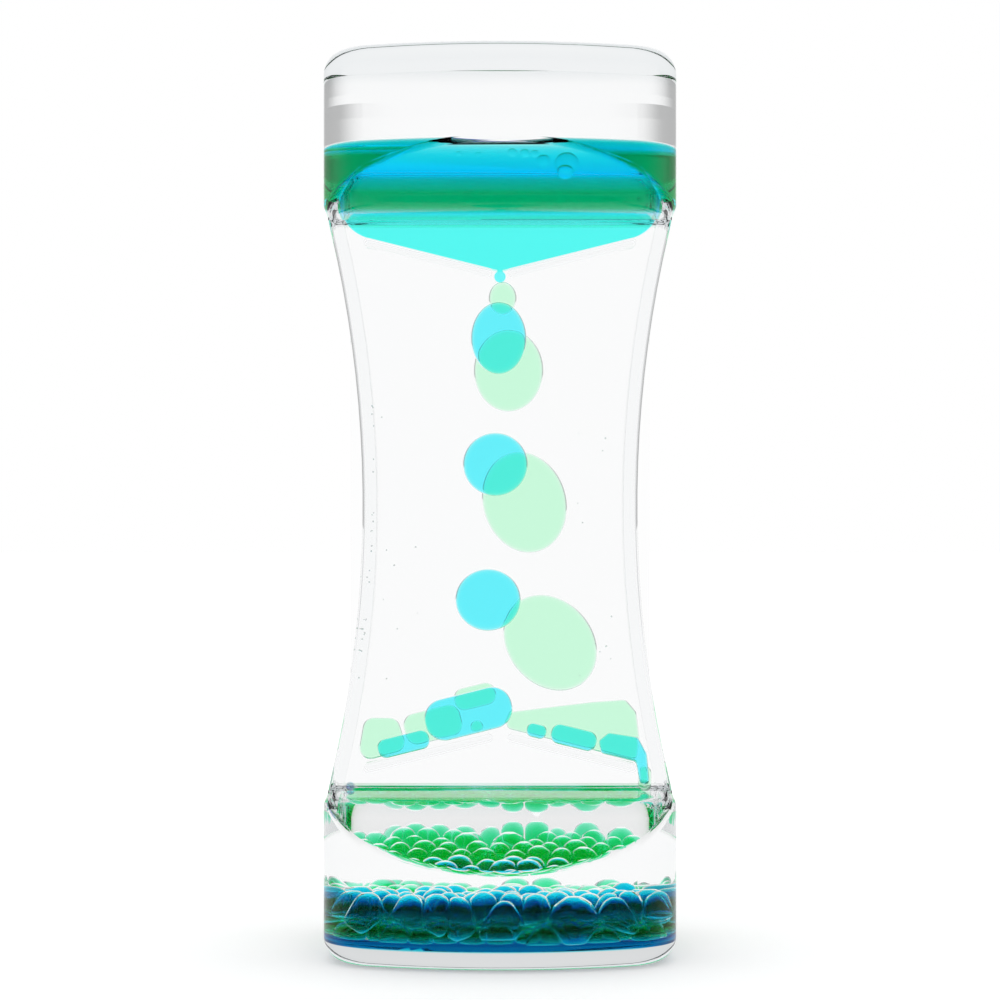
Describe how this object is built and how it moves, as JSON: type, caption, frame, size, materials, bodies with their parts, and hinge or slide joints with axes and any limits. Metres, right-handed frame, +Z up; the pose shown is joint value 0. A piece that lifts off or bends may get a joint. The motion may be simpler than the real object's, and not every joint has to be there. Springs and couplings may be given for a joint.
{
  "type": "liquid motion timer",
  "caption": "Clear hourglass-shaped liquid motion timer with a flat waist: blue liquid drips down a front channel and green down a rear one, through clear oil, between funnels",
  "frame": {"origin": "centre of the base face", "axes": "+Z up; -Y to the front, the blue side; +X to the right seen from the front"},
  "size_m": [0.052, 0.046, 0.134],
  "materials": {
    "clear_plastic": "polished",
    "clear_oil": "polished",
    "blue_liquid": "polished",
    "green_liquid": "polished"
  },
  "bodies": {
    "case": {"front_shell": "clear_plastic", "rear_shell": "clear_plastic", "divider_plate": "clear_plastic", "top_cap": "clear_plastic", "bottom_cap": "clear_plastic", "front_filler_plug": "clear_plastic", "rear_filler_plug": "clear_plastic", "front_upper_funnel": "clear_plastic", "front_lower_funnel": "clear_plastic", "rear_upper_funnel": "clear_plastic", "rear_lower_funnel": "clear_plastic", "front_oil": "clear_oil", "rear_oil": "clear_oil", "blue_upper_pool": "blue_liquid", "blue_ramp_drops": "blue_liquid", "blue_lower_pool": "blue_liquid", "blue_pool_beads": "blue_liquid", "blue_shoulder_beads": "blue_liquid", "green_upper_pool": "green_liquid", "green_ramp_drops": "green_liquid", "green_lower_pool": "green_liquid", "green_pool_beads": "green_liquid"},
    "blue_drop_1": {"blue_drop_1": "blue_liquid"},
    "blue_drop_2": {"blue_drop_2": "blue_liquid"},
    "blue_drop_3": {"blue_drop_3": "blue_liquid"},
    "green_drop_1": {"green_drop_1": "green_liquid"},
    "green_drop_2": {"green_drop_2": "green_liquid"},
    "green_drop_3": {"green_drop_3": "green_liquid"},
    "green_drop_4": {"green_drop_4": "green_liquid"}
  },
  "joints": [
    {"name": "blue_fall_1", "type": "slide", "parent": "case", "child": "blue_drop_1", "axis": [0, 0, -1], "range_m": [0, 0.0078]},
    {"name": "blue_fall_2", "type": "slide", "parent": "case", "child": "blue_drop_2", "axis": [0, 0, -1], "range_m": [0, 0.0078]},
    {"name": "blue_fall_3", "type": "slide", "parent": "case", "child": "blue_drop_3", "axis": [0, 0, -1], "range_m": [0, 0.0078]},
    {"name": "green_fall_1", "type": "slide", "parent": "case", "child": "green_drop_1", "axis": [0, 0, -1], "range_m": [0, 0.002]},
    {"name": "green_fall_2", "type": "slide", "parent": "case", "child": "green_drop_2", "axis": [0, 0, -1], "range_m": [0, 0.002]},
    {"name": "green_fall_3", "type": "slide", "parent": "case", "child": "green_drop_3", "axis": [0, 0, -1], "range_m": [0, 0.002]},
    {"name": "green_fall_4", "type": "slide", "parent": "case", "child": "green_drop_4", "axis": [0, 0, -1], "range_m": [0, 0.002]}
  ],
  "couplings": [
    {"joint": "blue_fall_1", "follows": "blue_fall_2", "ratio": 1},
    {"joint": "blue_fall_3", "follows": "blue_fall_2", "ratio": 1},
    {"joint": "green_fall_1", "follows": "green_fall_4", "ratio": 1},
    {"joint": "green_fall_2", "follows": "green_fall_4", "ratio": 1},
    {"joint": "green_fall_3", "follows": "green_fall_4", "ratio": 1}
  ]
}
